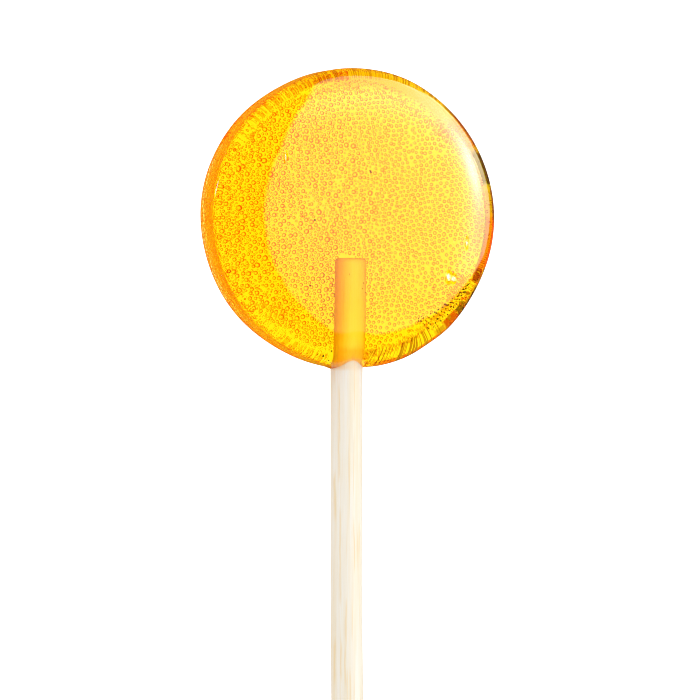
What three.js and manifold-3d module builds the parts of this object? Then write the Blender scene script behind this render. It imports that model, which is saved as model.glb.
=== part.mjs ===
// Honey lollipop: a clear round boiled sweet on a bamboo stick.
// Millimetres. The sweet lies on its flat back on z = 0 with its shown face up, +Z.
// The origin is the middle of the flat back, and the stick points to -Y.

import * as THREE from 'three';
import { mergeVertices } from 'three/addons/utils/BufferGeometryUtils.js';
import Module from 'manifold-3d';

const wasm = await Module();
wasm.setup();

// The sweet: a poured disc with a flat back, an upright wall, a round face edge and a domed face.
// The face is nearly flat in the middle and reaches its full slope, in degrees, at the face edge.
const discRadius = 22.2;
const discHeight = 8.0;
const backEdgeRadius = 0.6;
const faceEdgeRadius = 1.9;
const faceEdgeSlope = 15;
const facePower = 4;
const discSegments = 120;
const backRings = 3;
const backEdgeSteps = 3;
const faceEdgeSteps = 8;
const faceRings = 7;
const faceRingCrowding = 0.6;

// The face edge is sharper on one side: there its radius is less by up to this much.
const sharpEdgeAt = 182;
const sharpEdgeHalfWidth = 42;
const sharpEdgeLess = 1.2;

// The outline isn't a true circle. Each swell or flat spot has a place round the rim,
// counted in degrees from +X towards +Y, a half-width in degrees and a height.
const rimSwells = [
  { at: 5, halfWidth: 30, height: 0.1 },
  { at: 68, halfWidth: 12, height: 0.11 },
  { at: 119, halfWidth: 16, height: -0.26 },
  { at: 172, halfWidth: 20, height: 0.23 },
  { at: 240, halfWidth: 18, height: -0.28 },
  { at: 302, halfWidth: 7, height: -0.17 },
  { at: 330, halfWidth: 18, height: -0.25 },
];

// The stick, set in the lower edge of the sweet, a little left of its middle.
const stickRadius = 2.38;
const stickLength = 101.6;
const stickChamfer = 0.3;
const stickAxisX = -0.5;
const stickAxisHeight = 3.2;
const stickTopY = -5.95;
const stickSegments = 32;
const stickStations = 10;
const socketGap = 0.3;

// The outer end of the stick drifts a little to +X.
const swayStartY = -60;
const swayEndY = -85;
const swayReach = 0.28;

// Where the stick comes out, the wall is drawn in over it and beaded beside it.
const archX = -0.2;
const archDepth = 1.15;
const archHalfWidth = 1.8;
const archLowHeight = 3.4;
const archHighHeight = 6.2;
const beadHeight = 0.42;
const beadX = -2.3;
const beadHalfWidth = 1.3;
const beadLevel = 3.0;
const beadHalfHeight = 1.6;

// A bell curve, 1 at offset 0.
function bell(offset, halfWidth) {
  return Math.exp(-((offset / halfWidth) ** 2));
}

// The nearest signed difference between two bearings in degrees.
function bearingOffset(a, b) {
  return THREE.MathUtils.euclideanModulo(a - b + 180, 360) - 180;
}

// How far the rim stands out from a true circle at a bearing: the sum of its swells.
function rimSwell(bearing) {
  return rimSwells.reduce(
    (sum, swell) => sum + swell.height * bell(bearingOffset(bearing, swell.at), swell.halfWidth),
    0,
  );
}

// How far the wall moves outwards at the stick: the bead beside it, less the arch over it.
function exitRelief(x, z) {
  const archRise = THREE.MathUtils.smoothstep(z, archLowHeight, archHighHeight);
  const arch = archDepth * bell(x - archX, archHalfWidth) * archRise;
  const bead = beadHeight * bell(x - beadX, beadHalfWidth) * bell(z - beadLevel, beadHalfHeight);
  return bead - arch;
}

// The radius of the face edge at a bearing.
function edgeRadiusAt(bearing) {
  return faceEdgeRadius - sharpEdgeLess * bell(bearingOffset(bearing, sharpEdgeAt), sharpEdgeHalfWidth);
}

// The disc's section, from the middle of the back round to the middle of the face.
// The face falls away from the middle as a power of the reach, and meets the edge's arc at
// a common tangent. Its rings crowd towards the edge, where it curves most.
function discProfile(edgeRadius) {
  const points = [];
  for (let i = 0; i < backRings; i += 1) {
    points.push(new THREE.Vector2(((discRadius - backEdgeRadius) * i) / backRings, 0));
  }
  for (let i = 0; i <= backEdgeSteps; i += 1) {
    const turn = (Math.PI / 2) * (i / backEdgeSteps);
    points.push(new THREE.Vector2(
      discRadius - backEdgeRadius + backEdgeRadius * Math.sin(turn),
      backEdgeRadius - backEdgeRadius * Math.cos(turn),
    ));
  }
  const slope = THREE.MathUtils.degToRad(faceEdgeSlope);
  const edgeCentreReach = discRadius - edgeRadius;
  const faceReach = edgeCentreReach + edgeRadius * Math.sin(slope);
  const faceDrop = (Math.tan(slope) * faceReach) / facePower;
  const wallTop = discHeight - faceDrop - edgeRadius * Math.cos(slope);
  for (let i = 0; i <= faceEdgeSteps; i += 1) {
    const turn = (Math.PI / 2 - slope) * (i / faceEdgeSteps);
    points.push(new THREE.Vector2(
      edgeCentreReach + edgeRadius * Math.cos(turn),
      wallTop + edgeRadius * Math.sin(turn),
    ));
  }
  for (let i = 1; i <= faceRings; i += 1) {
    const share = (1 - i / faceRings) ** faceRingCrowding;
    points.push(new THREE.Vector2(faceReach * share, discHeight - faceDrop * share ** facePower));
  }
  return points;
}

// Turns a closed geometry into a solid: shared points are merged and empty triangles dropped.
function toSolid(geometry) {
  const bare = geometry.clone();
  bare.deleteAttribute('normal');
  bare.deleteAttribute('uv');
  const merged = mergeVertices(bare, 1e-4);
  const corners = merged.getIndex().array;
  const triangles = [];
  for (let i = 0; i < corners.length; i += 3) {
    const [a, b, c] = corners.slice(i, i + 3);
    if (a !== b && b !== c && c !== a) {
      triangles.push(a, b, c);
    }
  }
  return new wasm.Manifold(new wasm.Mesh({
    numProp: 3,
    vertProperties: new Float32Array(merged.getAttribute('position').array),
    triVerts: new Uint32Array(triangles),
  }));
}

// Gives a solid's surface back as a geometry.
function toGeometry(solid) {
  const mesh = solid.getMesh();
  const geometry = new THREE.BufferGeometry();
  geometry.setAttribute('position', new THREE.BufferAttribute(mesh.vertProperties, 3));
  geometry.setIndex(new THREE.BufferAttribute(mesh.triVerts, 1));
  geometry.computeVertexNormals();
  return geometry;
}

// The disc turned about Z. Each column takes the section with its own face edge, which is then
// pushed out or in by the rim's swells and the stick's exit. The push fades towards the
// middle, so the back stays flat and the face stays smooth.
function discGeometry() {
  const profile = discProfile(faceEdgeRadius);
  const geometry = new THREE.LatheGeometry(profile, discSegments);
  geometry.rotateX(Math.PI / 2);
  const position = geometry.getAttribute('position');
  for (let i = 0; i < position.count; i += 1) {
    const turn = Math.atan2(position.getY(i), position.getX(i));
    const bearing = THREE.MathUtils.radToDeg(turn);
    const { x: reach, y: height } = discProfile(edgeRadiusAt(bearing))[i % profile.length];
    const fade = (reach / discRadius) ** 2;
    const relief = turn < 0 ? exitRelief(reach * Math.cos(turn), height) * fade ** 4 : 0;
    const grown = reach + rimSwell(bearing) * fade + relief;
    position.setXYZ(i, grown * Math.cos(turn), grown * Math.sin(turn), height);
  }
  return geometry;
}

// How far the stick's axis lies to +X at a distance along it.
function stickSway(y) {
  return swayReach * THREE.MathUtils.smoothstep(-y, -swayStartY, -swayEndY);
}

// A round bar along -Y with chamfered ends, widened by a clearance where one is given.
function barGeometry(clearance, topY, bottomY) {
  const radius = stickRadius + clearance;
  const length = topY - bottomY;
  const points = [new THREE.Vector2(0, 0), new THREE.Vector2(radius - stickChamfer, 0)];
  for (let i = 0; i <= stickStations; i += 1) {
    const along = stickChamfer + (length - 2 * stickChamfer) * (i / stickStations);
    points.push(new THREE.Vector2(radius, along));
  }
  points.push(new THREE.Vector2(radius - stickChamfer, length), new THREE.Vector2(0, length));
  const geometry = new THREE.LatheGeometry(points, stickSegments);
  geometry.translate(stickAxisX, bottomY, stickAxisHeight);
  return geometry;
}

// The stick: the plain bar, shifted sideways by its sway.
function stickGeometry() {
  const geometry = barGeometry(0, stickTopY, stickTopY - stickLength);
  const position = geometry.getAttribute('position');
  for (let i = 0; i < position.count; i += 1) {
    position.setX(i, position.getX(i) + stickSway(position.getY(i)));
  }
  return geometry;
}

// The sweet: the disc with a blind socket that the stick fills.
function sweetGeometry() {
  const socketMouthY = -discRadius - 10;
  const socket = toSolid(barGeometry(socketGap, stickTopY + socketGap, socketMouthY));
  return toGeometry(toSolid(discGeometry()).subtract(socket));
}

const honeyCandy = new THREE.MeshStandardMaterial({ color: 0xffc81e, roughness: 0.06, metalness: 0 });
const bamboo = new THREE.MeshStandardMaterial({ color: 0xf0e0c2, roughness: 0.55, metalness: 0 });

const candy = new THREE.Mesh(sweetGeometry(), honeyCandy);
candy.name = 'candy';

const stick = new THREE.Mesh(stickGeometry(), bamboo);
stick.name = 'stick';

const group = new THREE.Group();
group.add(candy, stick);

export default group;
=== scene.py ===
import math

import bpy
import numpy as np
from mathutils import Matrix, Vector


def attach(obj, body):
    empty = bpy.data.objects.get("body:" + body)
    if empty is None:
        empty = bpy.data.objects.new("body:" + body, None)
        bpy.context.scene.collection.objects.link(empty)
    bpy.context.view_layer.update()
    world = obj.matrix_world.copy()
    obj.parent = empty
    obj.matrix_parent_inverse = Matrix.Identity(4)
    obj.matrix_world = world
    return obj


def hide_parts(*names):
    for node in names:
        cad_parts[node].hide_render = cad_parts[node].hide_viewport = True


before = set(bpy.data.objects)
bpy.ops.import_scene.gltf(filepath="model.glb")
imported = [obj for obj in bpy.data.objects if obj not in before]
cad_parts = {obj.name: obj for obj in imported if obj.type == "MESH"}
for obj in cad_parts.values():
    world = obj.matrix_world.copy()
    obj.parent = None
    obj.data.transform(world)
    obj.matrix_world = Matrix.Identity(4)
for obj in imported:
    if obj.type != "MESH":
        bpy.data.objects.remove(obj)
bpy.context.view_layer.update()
scene = bpy.context.scene
mm = 0.001               # sizes below are in millimetres, meshes in metres
degreesInRadian = 180 / math.pi
white = (1.0, 1.0, 1.0, 1.0)


# a bell curve, 1 at offset 0
def bell(offset, halfWidth):
    return np.exp(-((offset / halfWidth) ** 2))


# 0 below low, 1 above high, smooth between them
def smoothRamp(value, low, high):
    t = np.clip((value - low) / (high - low), 0, 1)
    return t * t * (3 - 2 * t)


# points by how far out they are, their bearing in radians and their height
def roundPoints(out, turn, height):
    return np.stack([out * np.cos(turn), out * np.sin(turn), height], -1)


# a mesh object from its points and its arrays of triangles and quads
def meshObject(name, points, faceArrays, smooth=True):
    corners = np.concatenate([faces.ravel() for faces in faceArrays])
    sizes = np.concatenate([np.full(len(faces), faces.shape[1]) for faces in faceArrays])
    mesh = bpy.data.meshes.new(name)
    mesh.vertices.add(len(points))
    mesh.vertices.foreach_set("co", (points * mm).ravel())
    mesh.loops.add(len(corners))
    mesh.loops.foreach_set("vertex_index", corners)
    mesh.polygons.add(len(sizes))
    mesh.polygons.foreach_set("loop_start", np.cumsum(sizes) - sizes)
    mesh.polygons.foreach_set("use_smooth", np.full(len(sizes), smooth))
    mesh.update(calc_edges=True)
    piece = bpy.data.objects.new(name, mesh)
    scene.collection.objects.link(piece)
    return piece


# faces of a surface whose rows are closed rings, from a first pole to a last pole
def ringFaces(rows, columns):
    here = np.arange(columns)
    beside = (here + 1) % columns
    first = 1 + np.stack([np.full(columns, -1), beside, here], 1)
    lastRow = 1 + (rows - 1) * columns
    last = lastRow + np.stack([np.full(columns, columns), here, beside], 1)
    row = 1 + np.arange(rows - 1)[:, None] * columns
    quads = np.stack([row + here, row + beside, row + columns + beside, row + columns + here], -1)
    return [first, quads.reshape(-1, 4), last]


# a colour as a socket takes it, with full cover
def opaque(colour):
    return (*colour, 1.0)


# a node's output socket, whose sums and products add Math nodes
class Wire:
    def __init__(self, graph, socket):
        self.graph = graph
        self.socket = socket

    def math(self, operation, *values):
        return self.graph.add("ShaderNodeMath", {"operation": operation}, values)

    def __add__(self, other):
        return self.math("ADD", self, other)

    def __radd__(self, other):
        return self.math("ADD", other, self)

    def __sub__(self, other):
        return self.math("SUBTRACT", self, other)

    def __rsub__(self, other):
        return self.math("SUBTRACT", other, self)

    def __mul__(self, other):
        return self.math("MULTIPLY", self, other)

    def __rmul__(self, other):
        return self.math("MULTIPLY", other, self)

    def __truediv__(self, other):
        return self.math("DIVIDE", self, other)

    def __pow__(self, other):
        return self.math("POWER", self, other)

    # a bell curve, 1 where the value is 0
    def bell(self):
        return self.math("EXPONENT", 0 - self * self)

    # 1 where a count is one or more
    def counted(self):
        return self.math("GREATER_THAN", self, 0.5)


# the nodes of one material or of the world
class Graph:
    def __init__(self, owner):
        owner.use_nodes = True
        self.tree = owner.node_tree
        self.tree.nodes.clear()

    # one node: its type, its settings, the values or links of its sockets, and the output wanted
    def add(self, kind, settings=None, values=(), out=0):
        node = self.tree.nodes.new(kind)
        for key, value in (settings or {}).items():
            setattr(node, key, value)
        pairs = values.items() if isinstance(values, dict) else enumerate(values)
        for key, value in pairs:
            if isinstance(value, Wire):
                self.tree.links.new(value.socket, node.inputs[key])
            elif value is not None:
                node.inputs[key].default_value = value
        if isinstance(out, tuple):
            return [Wire(self, node.outputs[one]) for one in out]
        return Wire(self, node.outputs[out]) if len(node.outputs) else node

    # 0 below low, 1 above high, smooth between them
    def ramp(self, value, low, high):
        smooth = {"interpolation_type": "SMOOTHSTEP"}
        return self.add("ShaderNodeMapRange", smooth, (value, low, high, 0.0, 1.0))

    # 0 below zero and 1 above it, with a soft step
    def step(self, value, soft):
        return self.ramp(value, -soft, soft)

    # 1 between two values, with soft ends
    def band(self, value, low, high, soft):
        return self.ramp(value, low - soft, low + soft) - self.ramp(value, high - soft, high + soft)

    def mixColour(self, factor, one, two):
        return self.add("ShaderNodeMix", {"data_type": "RGBA"}, {0: factor, 6: one, 7: two}, out=2)

    def noise(self, place, scale, detail):
        return self.add("ShaderNodeTexNoise", None, {"Vector": place, "Scale": scale, "Detail": detail})

    # Object coordinates, and their three parts in millimetres
    def objectPlace(self):
        place = self.add("ShaderNodeTexCoord", out="Object")
        parts = self.add("ShaderNodeSeparateXYZ", None, (place,), out=(0, 1, 2))
        return place, *[part / mm for part in parts]


camera = {
    "turn": 20.0,           # degrees from straight above, towards -X
    "distance": 700.0,
    "frameWidth": 104.16,   # what the picture takes in at the target
    "target": (1.055, -19.51, 0.43),
    "sensor": 36.0,
    "clip": (10.0, 20000.0),
}


# looks straight at the target from a point turned about Y, with the stick pointing down the picture
def makeCamera():
    turn = math.radians(camera["turn"])
    back = Vector((-math.sin(turn), 0.0, math.cos(turn)))
    data = bpy.data.cameras.new("camera")
    data.sensor_width = camera["sensor"]
    data.lens = camera["sensor"] * camera["distance"] / camera["frameWidth"]
    data.clip_start, data.clip_end = [end * mm for end in camera["clip"]]
    eye = bpy.data.objects.new("camera", data)
    scene.collection.objects.link(eye)
    eye.location = (Vector(camera["target"]) + back * camera["distance"]) * mm
    eye.rotation_euler = (0.0, -turn, 0.0)
    scene.camera = eye


makeCamera()
print("camera made")

sweet = {
    "radius": 22.2,
    "height": 8.0,
    "backEdge": 0.6,
    "faceEdge": 1.9,
    "sharpEdge": {"at": 182, "halfWidth": 42, "less": 1.2},   # the face edge is sharper on the left
    "faceSlope": 15.0,      # degrees, where the face meets its round edge
    "facePower": 4,
    "columns": 360,
    "backRows": 14,
    "backEdgeRows": 7,
    "wallRows": 8,
    "faceEdgeRows": 24,
    "faceRows": 60,
    "skin": 0.01,           # how far the fine surface stays inside the plain one
}

# swells and flat spots of the outline: degrees round the rim, half-width in degrees, height
rimSwells = [
    {"at": 5, "halfWidth": 30, "height": 0.1},
    {"at": 68, "halfWidth": 12, "height": 0.11},
    {"at": 119, "halfWidth": 16, "height": -0.26},
    {"at": 172, "halfWidth": 20, "height": 0.23},
    {"at": 240, "halfWidth": 18, "height": -0.28},
    {"at": 302, "halfWidth": 7, "height": -0.17},
    {"at": 330, "halfWidth": 18, "height": -0.25},
]

# where the stick comes out, the wall is drawn in over it and beaded beside it
stickExit = {
    "archX": -0.2,
    "archDepth": 1.15,
    "archHalfWidth": 1.8,
    "archLow": 3.4,
    "archHigh": 6.2,
    "beadHeight": 0.42,
    "beadX": -2.3,
    "beadHalfWidth": 1.3,
    "beadLevel": 3.0,
    "beadHalfHeight": 1.6,
    "fadePower": 4,         # how fast both die away towards the middle, against the swells
}


# the sum of the swells at a bearing in degrees, each a bell curve of the bearing
def rimSwell(bearing):
    swell = np.zeros_like(bearing)
    for one in rimSwells:
        offset = (bearing - one["at"] + 180) % 360 - 180
        swell = swell + one["height"] * bell(offset, one["halfWidth"])
    return swell


# how far the wall moves out: a bell curve both ways for the bead, less a bell curve across that
# ramps up with height for the arch
def exitRelief(x, z):
    e = stickExit
    rise = smoothRamp(z, e["archLow"], e["archHigh"])
    arch = e["archDepth"] * bell(x - e["archX"], e["archHalfWidth"]) * rise
    bead = e["beadHeight"] * bell(x - e["beadX"], e["beadHalfWidth"])
    return bead * bell(z - e["beadLevel"], e["beadHalfHeight"]) - arch


# Columns of the disc's section, from the back to the face, for an edge radius that changes round
# the rim: flat back, small back edge, upright wall, round face edge, and a face that falls away
# from the middle as a power of the reach and meets the edge's arc at a common tangent.
def discSection(edge):
    s = sweet
    slope = math.radians(s["faceSlope"])
    edgeReach = s["radius"] - edge
    faceReach = edgeReach + edge * math.sin(slope)
    faceDrop = math.tan(slope) * faceReach / s["facePower"]
    wallTop = s["height"] - faceDrop - edge * math.cos(slope)
    backReach = s["radius"] - s["backEdge"]
    back = np.linspace(0, backReach, s["backRows"], endpoint=False)[1:, None]
    turn = np.linspace(0, math.pi / 2, s["backEdgeRows"])[:, None]
    wall = np.linspace(0, 1, s["wallRows"])[1:-1, None]
    bend = np.linspace(0, math.pi / 2 - slope, s["faceEdgeRows"])[:, None]
    share = np.linspace(1, 0, s["faceRows"])[1:-1, None]
    everywhere = 0 * edge
    reach = np.concatenate([
        back + everywhere,
        backReach + s["backEdge"] * np.sin(turn) + everywhere,
        s["radius"] + 0 * wall + everywhere,
        edgeReach + edge * np.cos(bend),
        faceReach * share,
    ])
    height = np.concatenate([
        0 * back + everywhere,
        s["backEdge"] * (1 - np.cos(turn)) + everywhere,
        s["backEdge"] + (wallTop - s["backEdge"]) * wall,
        wallTop + edge * np.sin(bend),
        s["height"] - faceDrop * share ** s["facePower"],
    ])
    return reach, height


# the section turned round, pushed out or in by the swells and the stick's exit
def sweetPiece():
    angle = np.linspace(0, 2 * math.pi, sweet["columns"], endpoint=False)[None, :]
    bearing = np.degrees(angle)
    sharp = sweet["sharpEdge"]
    edge = sweet["faceEdge"] - sharp["less"] * bell(bearing - sharp["at"], sharp["halfWidth"])
    reach, height = discSection(edge)
    fade = (reach / sweet["radius"]) ** 2
    relief = exitRelief(reach * np.cos(angle), height) * fade ** stickExit["fadePower"]
    relief = np.where(np.sin(angle) < 0, relief, 0)
    reach = reach + rimSwell(bearing) * fade + relief - sweet["skin"]
    grid = roundPoints(reach, angle, height).reshape(-1, 3)
    points = np.concatenate([[[0, 0, 0]], grid, [[0, 0, sweet["height"]]]])
    return meshObject("sweet", points, ringFaces(len(reach), sweet["columns"]))


stick = {
    "radius": 2.38,
    "length": 101.6,
    "chamfer": 0.3,
    "axisX": -0.5,
    "axisHeight": 3.2,
    "top": -5.95,           # its end inside the sweet
    "swayStart": -60.0,     # from here on it drifts to +X
    "swayEnd": -85.0,
    "swayReach": 0.28,
    "columns": 64,
    "rows": 120,
}

bubbles = {
    "seed": 11,
    "count": 4450,
    "reach": 21.6,              # how far out they lie
    "rimReach": 19.1,           # less far out where the face edge draws them out to streaks:
    "rimFrom": (38, 46),        # that begins so many degrees from +X, and ends at so many
    "rimTo": (138, 152),        # degrees from rimMiddle
    "rimMiddle": 6,
    "jitter": 0.3,
    "large": (0.36, 0.055),     # radius and its spread
    "largeShare": 0.36,
    "small": (0.19, 0.045),
    "alike": (0.265, 0.03),     # to the right, the top and the bottom they get alike
    "alikeFrom": -1.0,
    "alikeTo": 14.0,
    "alikeBend": 0.032,
    "thinned": (0.06, 0.3),     # the share left out at the left and where they are alike
    "least": 0.1,
    "most": 0.55,
    "drawnShare": 0.05,         # few are drawn out, by this much, and the rest hardly at all
    "drawn": (0.25, 0.5),
    "hardlyDrawn": 0.08,
    "drawnLeast": 0.2,          # any is drawn by at least this part of its amount
    "gap": (0.12, 0.22),        # between neighbours at the left and where they are alike
    "push": 0.4,                # how much of an overlap is pushed apart in a round
    "rounds": 18,
    "lowest": 0.2,              # sugar under the lowest, and the rise above that on the average
    "rise": 0.3,
    "stickGap": 0.05,
    "meridians": 8,
    "rings": 3,
}

# small bubbles along the rim: bearings, how far out, how high, radii, by how much they are drawn
# out along their bearing, and how many
rimBubbles = {
    "seed": 5,
    "zones": [
        {"from": 90, "to": 142, "inner": 20.05, "outer": 20.4, "low": 0.3, "high": 1.3,
         "sizes": (0.06, 0.12), "drawn": 1.5, "count": 330},
        {"from": 36, "to": 144, "inner": 18.4, "outer": 20.1, "low": 0.3, "high": 1.3,
         "sizes": (0.06, 0.13), "drawn": 0.1, "count": 940},
        {"from": 275, "to": 335, "inner": 19.2, "outer": 20.4, "low": 0.3, "high": 1.5,
         "sizes": (0.06, 0.12), "drawn": 1.3, "count": 520},
        {"from": 228, "to": 262, "inner": 16.8, "outer": 19.4, "low": 0.3, "high": 1.5,
         "sizes": (0.06, 0.11), "drawn": 0.1, "count": 240},
        {"from": 224, "to": 262, "inner": 19.2, "outer": 20.3, "low": 0.3, "high": 1.3,
         "sizes": (0.05, 0.08), "drawn": 0.0, "count": 200},
        {"from": 305, "to": 405, "inner": 20.5, "outer": 21.9, "low": 0.8, "high": 4.5,
         "sizes": (0.06, 0.12), "drawn": 0.3, "count": 160},
        {"from": 152, "to": 236, "inner": 21.7, "outer": 22.0, "low": 0.8, "high": 5.6,
         "sizes": (0.06, 0.1), "drawn": 0.0, "count": 420},
        {"from": 140, "to": 230, "inner": 16.8, "outer": 21.3, "low": 0.3, "high": 1.8,
         "sizes": (0.06, 0.13), "drawn": 0.3, "count": 860},
    ],
    "margin": 0.12,
    "drawnLeast": 0.3,
    "stickGap": 0.1,
    "meridians": 8,
    "rings": 3,
}


# Round balls of few faces, all placed and scaled as arrays. Some are drawn out flat along a
# bearing: the part of each point along it grows.
def ballPiece(name, centres, radii, meridians, rings, stretch=None):
    polar = np.linspace(math.pi, 0, rings + 2)[1:-1, None]
    around = np.linspace(0, 2 * math.pi, meridians, endpoint=False)[None, :]
    unit = roundPoints(np.sin(polar), around, np.cos(polar) + 0 * around)
    unit = np.concatenate([[[0, 0, -1]], unit.reshape(-1, 3), [[0, 0, 1]]])
    shape = np.repeat(unit[None, :, :], len(centres), 0)
    if stretch is not None:
        much, bearing = stretch
        along = np.stack([np.cos(bearing), np.sin(bearing), 0 * bearing], 1)[:, None, :]
        shape = shape + (shape * along).sum(-1, keepdims=True) * along * much[:, None, None]
    points = (centres[:, None, :] + radii[:, None, None] * shape).reshape(-1, 3)
    shift = np.arange(len(centres))[:, None, None] * len(unit)
    faces = [(one + shift).reshape(-1, one.shape[1]) for one in ringFaces(rings, meridians)]
    return meshObject(name, points, faces)


# pushes apart circles that overlap, all pairs at once, and keeps them within a reach
def spread(spots, sizes, reach, rounds, strength):
    spots, sizes = spots.astype(np.float32), sizes.astype(np.float32)
    apart = sizes[:, None] + sizes[None, :]
    farOff = 1000           # mm, so that no circle is pushed by itself
    itself = np.eye(len(spots), dtype=np.float32) * farOff
    for _ in range(rounds):
        offsetX = spots[:, None, 0] - spots[None, :, 0]
        offsetY = spots[:, None, 1] - spots[None, :, 1]
        distance = np.sqrt(offsetX * offsetX + offsetY * offsetY) + itself
        push = np.maximum(apart - distance, 0) / distance * strength
        spots = spots + np.stack([(offsetX * push).sum(1), (offsetY * push).sum(1)], 1)
        away = np.hypot(spots[:, 0], spots[:, 1])
        spots = spots * np.minimum(1, (reach - sizes) / away)[:, None]
    return spots


# true where a ball is farther from the stick's axis than both radii, or beyond its top
def clearOfStick(centres, sizes):
    across = np.hypot(centres[:, 0] - stick["axisX"], centres[:, 2] - stick["axisHeight"])
    return (across > stick["radius"] + sizes) | (centres[:, 1] > stick["top"] + sizes)


# Spots on a sunflower's spiral, jittered, thinned and pushed apart. Large and small radii are
# drawn on the left and pass over to one radius where the bubbles are alike. They float low down.
def bubblePiece():
    b = bubbles
    rng = np.random.default_rng(b["seed"])
    step = np.arange(b["count"])
    away = b["reach"] * np.sqrt((step + 0.5) / b["count"])
    around = step * math.pi * (3 - math.sqrt(5))        # the golden angle, so they lie evenly
    spots = np.stack([away * np.cos(around), away * np.sin(around)], 1)
    spots = spots + rng.normal(0, b["jitter"], spots.shape)
    alike = smoothRamp(spots[:, 0] + b["alikeBend"] * spots[:, 1] ** 2, b["alikeFrom"], b["alikeTo"])
    least, most = b["thinned"]
    kept = rng.uniform(0, 1, len(spots)) > least + (most - least) * alike
    spots, alike = spots[kept], alike[kept]
    count = len(spots)
    isLarge = rng.uniform(0, 1, count) < b["largeShare"]
    large = rng.normal(*b["large"], count)
    sizes = np.where(isLarge, large, rng.normal(*b["small"], count))
    sizes = sizes + (rng.normal(*b["alike"], count) - sizes) * alike
    sizes = np.clip(sizes, b["least"], b["most"])
    near, wide = b["gap"]
    halfGap = 0.5 * (near + (wide - near) * alike)
    spots = spread(spots, sizes + halfGap, b["reach"], b["rounds"], b["push"])
    height = b["lowest"] + sizes + rng.exponential(b["rise"], count)
    centres = np.column_stack([spots, height])
    isDrawn = rng.uniform(0, 1, count) < b["drawnShare"]
    drawn = np.where(isDrawn, rng.uniform(*b["drawn"], count), b["hardlyDrawn"])
    drawn = drawn * rng.uniform(b["drawnLeast"], 1, count)
    stretch = [drawn, rng.uniform(0, 2 * math.pi, count)]
    clear = clearOfStick(centres, sizes * (1 + drawn) + b["stickGap"])
    bearing = np.degrees(np.arctan2(spots[:, 1], spots[:, 0]))
    streaky = smoothRamp(np.abs(bearing), *b["rimFrom"])
    streaky = streaky * (1 - smoothRamp(np.abs(bearing - b["rimMiddle"]), *b["rimTo"]))
    limit = b["reach"] + (b["rimReach"] + rimSwell(bearing) - b["reach"]) * streaky
    clear = clear & (np.hypot(spots[:, 0], spots[:, 1]) < limit)
    print("bubbles", clear.sum())
    stretch = [one[clear] for one in stretch]
    return ballPiece("bubbles", centres[clear], sizes[clear], b["meridians"], b["rings"], stretch)


# in each zone, bearing, reach, height and radius are drawn evenly between their bounds
def rimBubblePiece():
    b = rimBubbles
    rng = np.random.default_rng(b["seed"])
    centres, sizes, drawn, turns = [], [], [], []
    for zone in b["zones"]:
        count = zone["count"]
        bearing = rng.uniform(zone["from"], zone["to"], count)
        radius = rng.uniform(*zone["sizes"], count)
        out = rng.uniform(zone["inner"], zone["outer"], count)
        out = np.minimum(out, sweet["radius"] - radius - b["margin"]) + rimSwell(bearing)
        turn = np.radians(bearing)
        height = rng.uniform(zone["low"], zone["high"], count)
        centres.append(roundPoints(out, turn, height))
        sizes.append(radius)
        drawn.append(zone["drawn"] * rng.uniform(b["drawnLeast"], 1, count))
        turns.append(turn)
    centres, sizes, drawn, turns = [np.concatenate(one) for one in (centres, sizes, drawn, turns)]
    clear = clearOfStick(centres, sizes * (1 + drawn) + b["stickGap"])
    stretch = [drawn[clear], turns[clear]]
    return ballPiece("rimBubbles", centres[clear], sizes[clear], b["meridians"], b["rings"], stretch)


# a round bar along -Y with a chamfer at both ends, shifted to +X by a smooth ramp
def stickPiece():
    s = stick
    body = np.linspace(s["chamfer"], s["length"] - s["chamfer"], s["rows"])
    along = np.concatenate([[0.0], body, [s["length"]]])[:, None]
    radius = np.full(len(along), s["radius"])[:, None]
    radius[[0, -1]] -= s["chamfer"]
    angle = np.linspace(0, 2 * math.pi, s["columns"], endpoint=False)[None, :]
    y = s["top"] - along
    sway = s["swayReach"] * smoothRamp(-y, -s["swayStart"], -s["swayEnd"])
    x = s["axisX"] + sway + radius * np.cos(angle)
    z = s["axisHeight"] + radius * np.sin(angle)
    grid = np.stack([x, y + 0 * angle, z], -1).reshape(-1, 3)
    top = [s["axisX"], s["top"], s["axisHeight"]]
    bottom = [s["axisX"] + s["swayReach"], s["top"] - s["length"], s["axisHeight"]]
    points = np.concatenate([[top], grid, [bottom]])
    return meshObject("bambooStick", points, ringFaces(len(along), s["columns"]))


# dark caramel specks: places of the larger ones (across, along, height, radius), and a sector
# near the rim with many tiny ones
specks = {
    "seed": 3,
    "single": [
        (-7.3, -10.0, 5.5, 0.16),
        (2.05, 6.95, 5.5, 0.15),
        (2.15, 6.7, 5.5, 0.17),
        (-2.7, 1.5, 5.6, 0.13),
        (-6.6, -0.4, 5.5, 0.15),
        (9.8, -15.1, 5.2, 0.15),
        (-3.9, -19.6, 5.9, 0.13),
        (-5.15, -20.3, 5.8, 0.14),
        (-4.2, -20.9, 5.6, 0.1),
        (-4.6, -21.1, 5.4, 0.08),
        (-3.9, -21.2, 5.4, 0.09),
        (1.0, -9.6, 5.65, 0.1),
        (0.8, -10.4, 5.65, 0.08),
        (1.3, -11.0, 5.6, 0.09),
        (-1.2, -8.3, 5.6, 0.07),
    ],
    "from": -57,
    "to": -28,
    "inner": 17.5,          # how far out they start at the first bearing, and the rise a degree
    "innerRise": 0.085,
    "outer": 20.2,
    "low": 5.9,
    "high": 6.15,
    "evenly": (0.7549, 0.5698),     # steps of two shares that never bunch up
    "jitter": 0.08,
    "sizes": (0.09, 0.14),
    "count": 75,
    "meridians": 8,
    "rings": 4,
}


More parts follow.
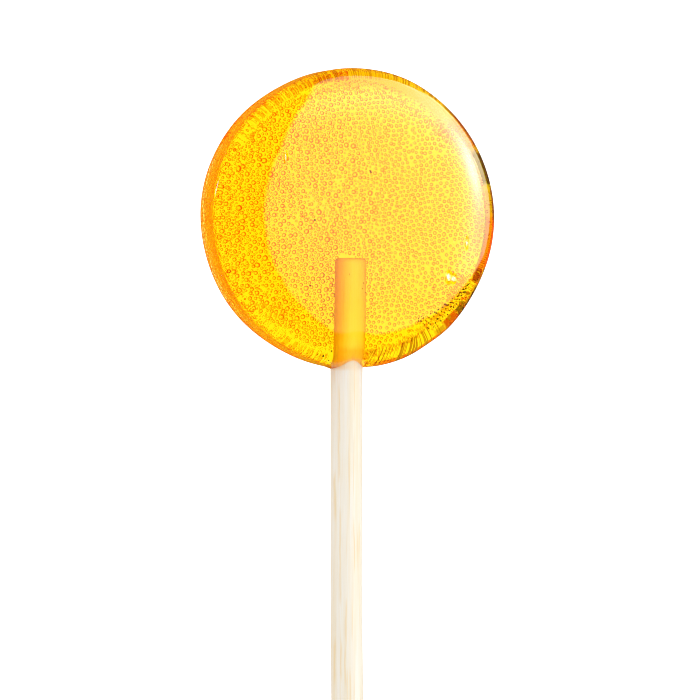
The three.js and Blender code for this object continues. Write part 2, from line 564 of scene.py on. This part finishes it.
# the single ones, and a sector in which bearing and reach follow two even sequences
def speckPiece():
    s = specks
    rng = np.random.default_rng(s["seed"])
    step = np.arange(s["count"])
    roundShare, outShare = [step * one % 1 for one in s["evenly"]]
    bearing = s["from"] + (s["to"] - s["from"]) * roundShare
    inner = s["inner"] + s["innerRise"] * (bearing - s["from"])
    out = inner + (s["outer"] - inner) * outShare + rng.normal(0, s["jitter"], s["count"])
    height = rng.uniform(s["low"], s["high"], s["count"])
    single = np.array(s["single"])
    centres = np.concatenate([single[:, :3], roundPoints(out, np.radians(bearing), height)])
    sizes = np.concatenate([single[:, 3], rng.uniform(*s["sizes"], s["count"])])
    return ballPiece("caramelSpecks", centres, sizes, s["meridians"], s["rings"])


candyLook = {
    "ior": 1.5,
    "absorb": (0.004, 0.066, 0.8),  # per mm of red, green and blue
    "cloud": (1.0, 0.97, 0.9),      # tint of the faint cloudy patches
    "cloudScale": 260.0,
    "cloudDetail": 3.0,
    "cloudRamp": (0.5, 0.8),
    "wave": 0.02,                   # faint unevenness of the skin: height, scale and detail
    "waveScale": 180.0,
    "waveDetail": 1.0,
    "dull": 0.22,                   # roughness of the wall on the left
    "dullFrom": 148,
    "dullTo": 238,
    "dullSoft": 14,
    "dullTop": (5.7, 6.0),
}

# Painted shade and painted reflections round the rim: darker, redder and paler tints that stand for dark
# surroundings mirrored in it and for light dimmed on long ways through it. Bearings in degrees from +X
# towards +Y, heights in mm above the back, softness of both.
paintedRimShade = {
    "topRight": {"from": 34, "to": 104, "low": 6.3, "high": 6.95,
        "tint": (0.82, 0.71, 0.8), "soft": (8, 0.14)},
    "top": {"from": 76, "to": 118, "low": 4.4, "high": 6.64,
        "tint": (0.82, 0.67, 0.3), "soft": (6, 0.06)},
    "topThin": {"from": 42, "to": 76, "low": 4.4, "high": 6.26,
        "tint": (0.84, 0.67, 0.28), "soft": (6, 0.08)},
    # shine: painted dimming of what passes under the lamp's highlight, so that the highlight reads cream
    "shine": {"from": -14, "to": 50, "low": 6.76, "high": 7.16,
        "tint": (0.74, 0.69, 0.88), "soft": (10, 0.16)},
    "lip": {"from": -99, "to": -85, "low": 4.4, "high": 6.9,
        "tint": (0.99, 0.82, 0.5), "soft": (1, 0.15)},
    "bead": {"from": -101, "to": -91, "low": 2.0, "high": 4.7,
        "tint": (0.85, 0.42, 0.15), "soft": (1.5, 0.2)},
    "peachUpper": {"from": 29, "to": 45, "low": 6.15, "high": 6.78,
        "tint": (0.82, 0.5, 0.45), "soft": (3, 0.03)},
    "greyBand": {"from": 13, "to": 30, "low": 6.34, "high": 6.7,
        "tint": (0.3, 0.3, 0.25), "soft": (2.5, 0.03)},
    "paleBand": {"from": 1, "to": 13, "low": 6.24, "high": 6.7,
        "tint": (0.6, 0.5, 0.38), "soft": (2, 0.03)},
    "peachLine": {"from": 0, "to": 30, "low": 6.7, "high": 6.8,
        "tint": (0.7, 0.5, 0.42), "soft": (3, 0.02)},
    "peachBand": {"from": -26, "to": 2, "low": 6.36, "high": 6.78,
        "tint": (0.72, 0.34, 0.14), "soft": (2, 0.03)},
    "greyLine": {"from": -22, "to": 4, "low": 6.74, "high": 6.8,
        "tint": (0.5, 0.45, 0.4), "soft": (3, 0.015)},
    "redEdge": {"from": -21, "to": 2, "low": 4.4, "high": 6.36,
        "tint": (0.84, 0.2, 0.0), "soft": (1.5, 0.03)},
    "darkThread": {"from": -1, "to": 13, "low": 4.4, "high": 6.26,
        "tint": (0.3, 0.14, 0.1), "soft": (1.5, 0.04)},
    "darkLine": {"from": 13, "to": 28, "low": 4.4, "high": 6.4,
        "tint": (0.12, 0.08, 0.1), "soft": (1.5, 0.03)},
    "crimsonLine": {"from": 28, "to": 50, "low": 4.4, "high": 6.24,
        "tint": (0.36, 0.12, 0.13), "soft": (3, 0.05)},
    "brownPatch": {"from": -27, "to": -21, "low": 6.15, "high": 6.72,
        "tint": (0.36, 0.1, 0.02), "soft": (0.8, 0.04)},
    "oliveEdge": {"from": -27, "to": -19, "low": 4.4, "high": 6.1,
        "tint": (0.5, 0.34, 0.1), "soft": (1, 0.05)},
    "blackEdge": {"from": -43, "to": -27, "low": 4.4, "high": 6.3,
        "tint": (0.16, 0.11, 0.04), "soft": (1.5, 0.06)},
    "oliveShade": {"from": -37, "to": -27, "low": 6.2, "high": 6.48,
        "tint": (0.66, 0.52, 0.2), "soft": (2, 0.06)},
    "darkPatch": {"from": -41.5, "to": -36, "low": 6.15, "high": 6.66,
        "tint": (0.24, 0.15, 0.03), "soft": (0.8, 0.05)},
    "redPatch": {"from": -49, "to": -41.5, "low": 4.4, "high": 6.7,
        "tint": (0.56, 0.16, 0.03), "soft": (0.8, 0.04)},
    "greyPatch": {"from": -54, "to": -49, "low": 4.4, "high": 6.6,
        "tint": (0.6, 0.5, 0.5), "soft": (1, 0.05)},
    "redThread": {"from": -82, "to": -50, "low": 4.4, "high": 6.22,
        "tint": (0.85, 0.34, 0.1), "soft": (3, 0.04)},
}

# painted shade: patches of dark and red tint at the lower right that stand for dark surroundings
# mirrored in the rim, broken up by noise
rimShadePatches = {
    "from": -49, "to": -20, "low": 4.4, "high": 6.72, "soft": (1.5, 0.05),
    "dark": (0.5, 0.34, 0.08), "red": (0.75, 0.22, 0.0),
    "darkRamp": (0.56, 0.62), "redRamp": (0.6, 0.64),
    "acrossScale": 0.55, "upScale": 2.2, "detail": 2.0,
}

# thin radial streaks in the bent edge of the face
rimStreaks = {
    "zones": [
        {"from": 80, "to": 118, "high": 6.66, "tint": (0.58, 0.38, 0.08)},
        {"from": 64, "to": 80, "high": 6.5, "tint": (0.54, 0.36, 0.08)},
        {"from": 46, "to": 64, "high": 6.28, "tint": (0.5, 0.34, 0.1)},
        {"from": 118, "to": 142, "high": 6.66, "tint": (0.88, 0.62, 0.25)},
        {"from": -86, "to": -50, "high": 6.9, "tint": (0.46, 0.32, 0.24)},
        {"from": -126, "to": -101, "high": 6.6, "tint": (0.86, 0.68, 0.3)},
    ],
    "low": 4.6, "soft": (2, 0.06), "ramp": (0.47, 0.56),
    "acrossScale": 1.25, "upScale": 0.12, "detail": 2.0,
    "lean": 1.7,            # degrees a mm, to the right of the stick
    "leanFrom": -92, "leanTo": -62, "leanSoft": 3.0,
}

# Dents of the face that catch the lamp: place and half-widths in mm, and how steeply each is
# tilted along both axes.
dents = [
    {"at": (14.1, -8.7), "size": (0.5, 0.8), "tilt": (-0.087, -0.182)},
    {"at": (14.9, -8.9), "size": (0.5, 0.6), "tilt": (-0.08, -0.175)},
    {"at": (17.05, -3.6), "size": (0.24, 0.8), "tilt": (-0.058, -0.139)},
    {"at": (-11.6, 8.8), "size": (0.2, 0.7), "tilt": (-0.285, -0.052)},
]


# A Principled node tints what passes a surface by the root of its colour, so a tint is squared.
def squared(tint):
    return opaque([value * value for value in tint])


# Clear sugar, coloured by what it absorbs on the way through. Each tint is mixed in where a band of
# bearing and a band of height meet, and patches and streaks only where noise lets them. The rim tints
# and patches are painted shade and painted reflections.
def candyMaterial():
    material = bpy.data.materials.new("honeyCandy")
    g = Graph(material)
    look = candyLook
    place, x, y, z = g.objectPlace()
    bearing = y.math("ARCTAN2", y, x) * degreesInRadian

    def rimMask(zone, low, around, up):
        return g.band(bearing, zone["from"], zone["to"], around) * g.band(z, low, zone["high"], up)

    def rimNoise(zone, shift=0.0):
        around = (bearing - shift) * zone["acrossScale"]
        spot = g.add("ShaderNodeCombineXYZ", None, (around, z * zone["upScale"], 0.0))
        return g.noise(spot, 1.0, zone["detail"])

    cloud = g.noise(place, look["cloudScale"], look["cloudDetail"])
    cloudy = g.ramp(cloud, *look["cloudRamp"])
    colour = g.mixColour(cloudy, white, squared(look["cloud"]))
    # painted shade and painted reflections round the rim
    for zone in paintedRimShade.values():
        colour = g.mixColour(rimMask(zone, zone["low"], *zone["soft"]), colour, squared(zone["tint"]))

    # painted shade: dark and red patches at the lower right of the rim
    patches = rimShadePatches
    patch = rimNoise(patches)
    mask = rimMask(patches, patches["low"], *patches["soft"])
    dark = mask * g.ramp(patch, *patches["darkRamp"])
    colour = g.mixColour(dark, colour, squared(patches["dark"]))
    red = mask * g.ramp(1 - patch, *patches["redRamp"])
    colour = g.mixColour(red, colour, squared(patches["red"]))

    streaks = rimStreaks
    lean = streaks["lean"] * g.band(bearing, streaks["leanFrom"], streaks["leanTo"], streaks["leanSoft"])
    reach = (x * x + y * y) ** 0.5
    shift = lean * (sweet["radius"] - reach)
    streak = g.ramp(rimNoise(streaks, shift), *streaks["ramp"])
    for zone in streaks["zones"]:
        mask = streak * rimMask(zone, streaks["low"], *streaks["soft"])
        colour = g.mixColour(mask, colour, squared(zone["tint"]))

    height = look["wave"] * g.noise(place, look["waveScale"], look["waveDetail"])
    for one in dents:
        across, along = x - one["at"][0], y - one["at"][1]
        wide, high = one["size"]
        away = (across / wide) * (across / wide) + (along / high) * (along / high)
        slope = across * one["tilt"][0] + along * one["tilt"][1]
        height = height + slope * away.bell()
    normal = g.add("ShaderNodeBump", None, {"Height": height, "Distance": mm, "Strength": 1.0})
    turned = bearing + 360 * bearing.math("LESS_THAN", bearing, 0.0)
    dull = g.band(turned, look["dullFrom"], look["dullTo"], look["dullSoft"])
    dull = dull * (1 - g.ramp(z, *look["dullTop"]))
    shader = g.add("ShaderNodeBsdfPrincipled", None, {
        "Base Color": colour,
        "Roughness": look["dull"] * dull,
        "IOR": look["ior"],
        "Transmission Weight": 1.0,
        "Normal": normal,
    })
    perMetre = np.array(look["absorb"]) / mm
    density = float(perMetre.max())
    clearness = [float(1 - value / density) for value in perMetre]
    volume = g.add("ShaderNodeVolumeAbsorption", None, {"Color": opaque(clearness), "Density": density})
    g.add("ShaderNodeOutputMaterial", None, {"Surface": shader, "Volume": volume})
    return material


# air inside sugar is glass with the index turned round
def bubbleMaterial():
    material = bpy.data.materials.new("airBubble")
    g = Graph(material)
    glass = g.add("ShaderNodeBsdfGlass", None, {
        "Color": white,
        "Roughness": 0.0,
        "IOR": 1 / candyLook["ior"],
    })
    g.add("ShaderNodeOutputMaterial", None, {"Surface": glass})
    return material


speckLook = {
    "dark": (0.03, 0.01, 0.0),
    "light": (0.28, 0.08, 0.0),
    "scale": 300.0,
    "detail": 1.0,
    "ramp": (0.4, 0.6),
    "roughness": 0.5,
}


# burnt sugar in two tones
def speckMaterial():
    material = bpy.data.materials.new("darkCaramel")
    g = Graph(material)
    look = speckLook
    noise = g.noise(g.add("ShaderNodeTexCoord", out="Object"), look["scale"], look["detail"])
    light = g.ramp(noise, *look["ramp"])
    shader = g.add("ShaderNodeBsdfPrincipled", None, {
        "Base Color": g.mixColour(light, opaque(look["dark"]), opaque(look["light"])),
        "Roughness": look["roughness"],
    })
    g.add("ShaderNodeOutputMaterial", None, {"Surface": shader})
    return material


bambooLook = {
    "pale": (0.96, 0.91, 0.81),
    "deep": (0.93, 0.82, 0.62),
    "strand": (0.92, 0.68, 0.34),
    "soakedAndShaded": (0.95, 0.685, 0.36),
    "fine": (6.0, 0.12, 3.0),       # grains: how fine across and along, per mm, and their detail
    "broad": (0.9, 0.03, 2.0),
    "strands": (3.2, 0.07, 2.0),
    "broadRamp": (0.35, 0.7),
    "fineRamp": (0.4, 0.7),
    "fineShare": 0.5,
    "strandRamp": (0.58, 0.7),
    "strandShare": 0.45,
    "wobble": (0.4, 0.25, 1.0),     # the grain by which the marks below waver, and how far
    "wobbleReach": 0.25,
    "markHalfWidth": 0.1,
    "markSoft": 1.2,
    "markRise": 0.6,                # they lie on the upper side
    "markShare": 0.6,
    "markMost": 0.7,
    "soakedEdge": (-22.7, -22.1),   # the wood is soaked orange inside the sweet,
    "soakedShare": 0.8,             # with painted shade deepening it on its left side, away from the light, less towards its middle
    "leftShadeShare": 0.5,
    "leftShadeAcross": (-1.9, 0.3),
    "endShare": 0.8,                # and deeper orange at its inner end
    "endReach": (0.55, 0.25),
    "bump": 0.03,
    "bumpStrands": 0.5,
    "roughness": (0.45, 0.2),       # and how much the fine grain adds
}

# longer darker fibres: how far across from the axis, where along the stick they start and end
bambooMarks = [
    {"across": -1.75, "start": -25.0, "end": -38.5},
    {"across": -2.17, "start": -38.0, "end": -44.2},
    {"across": -1.64, "start": -43.3, "end": -56.8},
    {"across": 0.33, "start": -44.8, "end": -52.0},
    {"across": -0.88, "start": -56.7, "end": -62.7},
    {"across": -2.15, "start": -62.5, "end": -68.7},
    {"across": -1.52, "start": -62.9, "end": -68.0},
    {"across": -1.0, "start": -63.5, "end": -69.0},
    {"across": -0.3, "start": -67.1, "end": -76.0},
    {"across": 1.1, "start": -74.0, "end": -88.0},
    {"across": -1.2, "start": -79.0, "end": -92.0},
    {"across": 0.2, "start": -90.0, "end": -103.0},
]


# Pale wood darkened by a broad and a fine grain, by strands and by single fibres, and soaked orange
# where it is in the sweet, with painted shade deepening that orange on its left side.
def bambooMaterial():
    material = bpy.data.materials.new("bamboo")
    g = Graph(material)
    look = bambooLook
    pale, deep, strandTone, soakedAndShadedTone = [opaque(look[tone]) for tone in ("pale", "deep", "strand", "soakedAndShaded")]
    _, x, y, z = g.objectPlace()

    # noise drawn out along the stick
    def grain(across, along, detail):
        spot = g.add("ShaderNodeCombineXYZ", None, (x * across, y * along, z * across))
        return g.noise(spot, 1.0, detail)

    fine = grain(*look["fine"])
    broad = grain(*look["broad"])
    strands = g.ramp(grain(*look["strands"]), *look["strandRamp"])
    wobble = look["wobbleReach"] * (grain(*look["wobble"]) - 0.5)
    marks = 0.0
    for one in bambooMarks:
        offset = (x - stick["axisX"] - one["across"] + wobble) / look["markHalfWidth"]
        marks = marks + offset.bell() * g.band(y, one["end"], one["start"], look["markSoft"])
    marks = marks * g.ramp(z, stick["axisHeight"], stick["axisHeight"] + look["markRise"])
    marks = marks.math("MINIMUM", look["markShare"] * marks, look["markMost"])

    colour = g.mixColour(g.ramp(broad, *look["broadRamp"]), pale, deep)
    colour = g.mixColour(look["fineShare"] * g.ramp(fine, *look["fineRamp"]), colour, deep)
    colour = g.mixColour(look["strandShare"] * strands, colour, strandTone)
    colour = g.mixColour(marks, colour, strandTone)

    # painted shade: inside the sweet the soaked tone is deeper on the stick's left side, away from the
    # light
    inward = g.ramp(x - stick["axisX"], *look["leftShadeAcross"])
    soakedAndShaded = g.ramp(y, *look["soakedEdge"]) * (look["soakedShare"] - look["leftShadeShare"] * inward)
    atEnd = g.ramp(y, *[stick["top"] - reach for reach in look["endReach"]])
    soakedAndShaded = soakedAndShaded + (1 - soakedAndShaded) * look["endShare"] * atEnd
    colour = g.mixColour(soakedAndShaded, colour, soakedAndShadedTone)
    normal = g.add("ShaderNodeBump", None, {
        "Height": fine + strands * look["bumpStrands"],
        "Distance": look["bump"] * mm,
        "Strength": 1.0,
    })
    smooth, rougher = look["roughness"]
    shader = g.add("ShaderNodeBsdfPrincipled", None, {
        "Base Color": colour,
        "Roughness": smooth + rougher * fine,
        "Normal": normal,
    })
    g.add("ShaderNodeOutputMaterial", None, {"Surface": shader})
    return material


floor = {
    "half": 3000.0,
    "level": -0.02,      # a hair of air lies between the sweet and the floor
    "shade": 0.15,
    "roughness": 0.9,
    "glow": 1.33,
    "dark": (0.015, 0.015, 0.015),      # what the sweet's outer skin mirrors of it on the right
    "thrown": (0.5, 0.215, 0.01),        # and on the left
    "thrownEdge": (-4.0, 10.0),
    "onWood": 0.6,       # how much of its glow lights the bare wood
}


# The sweet's outer skin mirrors a floor that is dark but for the orange light the sweet throws
# on it to its left, and the bare wood gets less light from it than the sweet.
def floorMaterial():
    material = bpy.data.materials.new("paleFloor")
    material.cycles.emission_sampling = "NONE"
    g = Graph(material)
    place = g.add("ShaderNodeTexCoord", out="Object")
    x = g.add("ShaderNodeSeparateXYZ", None, (place,)) / mm
    counts = ("Glossy Depth", "Diffuse Depth", "Transmission Depth")
    glossy, diffuse, through = g.add("ShaderNodeLightPath", out=counts)
    outside = 1 - through.counted()
    lit = outside * diffuse.counted()
    mirrored = outside * glossy.counted() * (1 - lit)
    right = g.ramp(x, *floor["thrownEdge"])
    thrown = g.mixColour(right, opaque(floor["thrown"]), opaque(floor["dark"]))
    colour = g.mixColour(mirrored, white, thrown)
    glow = floor["glow"] * (1 - lit * (1 - floor["onWood"]))
    shader = g.add("ShaderNodeBsdfPrincipled", None, {
        "Base Color": g.mixColour(mirrored, opaque([floor["shade"]] * 3), opaque([0.0] * 3)),
        "Roughness": floor["roughness"],
        "Emission Color": colour,
        "Emission Strength": glow,
    })
    g.add("ShaderNodeOutputMaterial", None, {"Surface": shader})
    return material


# a wide square sheet under the sweet
def makeFloor():
    ends = np.array([[-1, -1, 0], [1, -1, 0], [1, 1, 0], [-1, 1, 0]])
    corners = ends * floor["half"] + [0, 0, floor["level"]]
    sheet = meshObject("floor", corners, [np.array([[0, 1, 2, 3]])], smooth=False)
    sheet.data.materials.append(floorMaterial())


# What the sweet's outer skin mirrors is laid out by two measures: degrees right of straight up,
# and how far up the picture the mirrored direction points.
studio = {
    "dark": 0.02,
    "cardLeft": 9.5,        # where the soft white card begins, and how that edge curves away
    "cardCurve": 6.0,       # to the right above the middle and below it
    "cardCurveLow": 78.0,
    "cardSoft": 0.9,
    "horizonSoft": 0.05,
    "cardTop": (0.63, 0.68),
    "cardBottom": -0.28,    # its lower edge rises to the right
    "cardBottomFrom": 22.0,
    "cardBottomRise": 0.0002,
    "cardBottomSoft": 0.015,
    "cardRight": 64.0,      # its right edge, which leans out upwards
    "cardRightLean": 90.0,
    "cardRightSoft": 8.0,
    "card": (1.3, 0.05),    # brightness at its left edge and the rise for each degree
    "cardLow": 0.55,        # its share of that at the foot, and two gains upwards, from and to
    "cardMiddle": (0.5, -0.2, 0.12),
    "cardHigh": (0.35, 0.1, 0.4),
    "cardBar": (0.34, 0.09, 0.5),   # a brighter bar across it: place, half-width, gain
    "lamp": (44.6, 3.3, 0.18, 0.1, 13.5),   # place and half-width both ways, brightness
    "glare": (43.0, 6.0, 14.0, 3.0),    # glow round it: place, half-width left and right, brightness
    "glareSoft": 1.0,
    "glareFoot": (-0.22, -0.05),
    "glareTop": (0.25, 0.22, 0.42),     # it dims upwards by this much, from and to
    "leftLamp": (9.0, -95.0, -60.0, 0.24, 0.36),    # brightness, left, right, bottom and top
    "leftLampSoft": (1.0, 0.03),
    "tent": 1.25,
    "lobe": 1.5,            # what the tent gains towards one side
    "lobeAt": 35.0,
    "lobeWidth": 35.0,
    "lobeHeight": 0.5,
    "insideBoost": 0.85,    # extra light on what lies inside the sweet
    "wood": (1.0, 0.28),    # light on the bare wood, and how much more comes from the right
    "backdrop": 1.0,
}


# What the sweet mirrors: dark on the left, a soft card on the right and a bright lamp in it.
# What shines through it, once a ray has been inside, is a white tent, brightest on the right.
def makeWorld():
    world = bpy.data.worlds.new("studio")
    scene.world = world
    world.cycles.sampling_method = "NONE"
    g = Graph(world)
    s = studio

    direction = g.add("ShaderNodeTexCoord", out="Generated")
    x, y, z = g.add("ShaderNodeSeparateXYZ", None, (direction,), out=(0, 1, 2))
    rightward = x.math("ARCTAN2", x, z) * degreesInRadian
    below = y.math("MINIMUM", y, 0.0)
    left = s["cardLeft"] + y * y * s["cardCurve"] + below * below * s["cardCurveLow"]
    card = g.step(rightward - left, s["cardSoft"]) * g.step(z, s["horizonSoft"])
    beyond = y.math("MAXIMUM", rightward - s["cardBottomFrom"], 0.0)
    bottom = s["cardBottom"] + beyond * beyond * s["cardBottomRise"]
    card = card * g.step(y - bottom, s["cardBottomSoft"]) * (1 - g.ramp(y, *s["cardTop"]))
    right = s["cardRight"] + s["cardRightLean"] * y.math("MAXIMUM", y, 0.0)
    card = card * (1 - g.step(rightward - right, s["cardRightSoft"]))

    share = s["cardLow"]
    for gain, low, high in (s["cardMiddle"], s["cardHigh"]):
        share = share + gain * g.ramp(y, low, high)
    place, half, gain = s["cardBar"]
    share = share + gain * ((y - place) / half).bell()
    atLeft, rise = s["card"]
    shine = (atLeft + rise * (rightward - s["cardLeft"])) * share

    place, toLeft, toRight, bright = s["glare"]
    aside = rightward - place
    glare = (aside / (toLeft + (toRight - toLeft) * g.step(aside, s["glareSoft"]))).bell()
    less, low, high = s["glareTop"]
    shine = shine + bright * glare * g.ramp(y, *s["glareFoot"]) * (1 - less * g.ramp(y, low, high))
    place, half, level, halfUp, bright = s["lamp"]
    shine = shine + bright * ((rightward - place) / half).bell() * ((y - level) / halfUp).bell()
    seen = card * shine + s["dark"]
    bright, low, high, bottom, top = s["leftLamp"]
    softAcross, softUp = s["leftLampSoft"]
    seen = seen + bright * g.band(rightward, low, high, softAcross) * g.band(y, bottom, top, softUp)

    lobe = (rightward - s["lobeAt"]) / s["lobeWidth"]
    tent = s["tent"] + s["lobe"] * lobe.bell() * (y / s["lobeHeight"]).bell()
    counts = ("Is Camera Ray", "Transmission Depth", "Diffuse Depth")
    isCamera, through, diffuse = g.add("ShaderNodeLightPath", out=counts)
    lit = diffuse.counted()
    tent = tent * (1 + s["insideBoost"] * lit)
    onWood, fromRight = s["wood"]
    seen = seen + (onWood + fromRight * x - seen) * lit
    strength = seen + (tent - seen) * through.counted()
    strength = strength + (s["backdrop"] - strength) * isCamera
    background = g.add("ShaderNodeBackground", None, {"Color": white, "Strength": strength})
    g.add("ShaderNodeOutputWorld", None, {"Surface": background})


softLamp = {
    "place": (-330.0, -60.0, 470.0),
    "aim": (0.0, -60.0, 0.0),
    "size": 260.0,
    "power": 0.15,
}


# a soft lamp at the upper left that only lights the bare wood
def makeSoftLamp():
    data = bpy.data.lights.new("softLamp", "AREA")
    data.size = softLamp["size"] * mm
    data.energy = softLamp["power"]
    lamp = bpy.data.objects.new("softLamp", data)
    scene.collection.objects.link(lamp)
    place, aim = Vector(softLamp["place"]), Vector(softLamp["aim"])
    lamp.location = place * mm
    lamp.rotation_euler = (aim - place).to_track_quat("-Z", "Y").to_euler()
    lamp.visible_camera = False
    lamp.visible_glossy = False
    lamp.visible_transmission = False


rays = {
    "bounces": 48,          # light passes many bubbles
    "glossyBounces": 32,
    "throughBounces": 32,
    "filterWidth": 1.0,     # pixels
}


# gives a piece its material and body, and hides the CAD node that it stands for
def finishPiece(piece, material, node=None):
    piece.data.materials.append(material)
    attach(piece, "root")
    if node:
        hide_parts(node)


finishPiece(sweetPiece(), candyMaterial(), "candy")
finishPiece(stickPiece(), bambooMaterial(), "stick")
air = bubbleMaterial()
finishPiece(bubblePiece(), air)
finishPiece(rimBubblePiece(), air)
finishPiece(speckPiece(), speckMaterial())
print("pieces made")

makeWorld()
makeFloor()
makeSoftLamp()
scene.view_settings.view_transform = "Standard"
scene.cycles.max_bounces = rays["bounces"]
scene.cycles.glossy_bounces = rays["glossyBounces"]
scene.cycles.transmission_bounces = rays["throughBounces"]
scene.cycles.filter_width = rays["filterWidth"]
print("floor and light made")
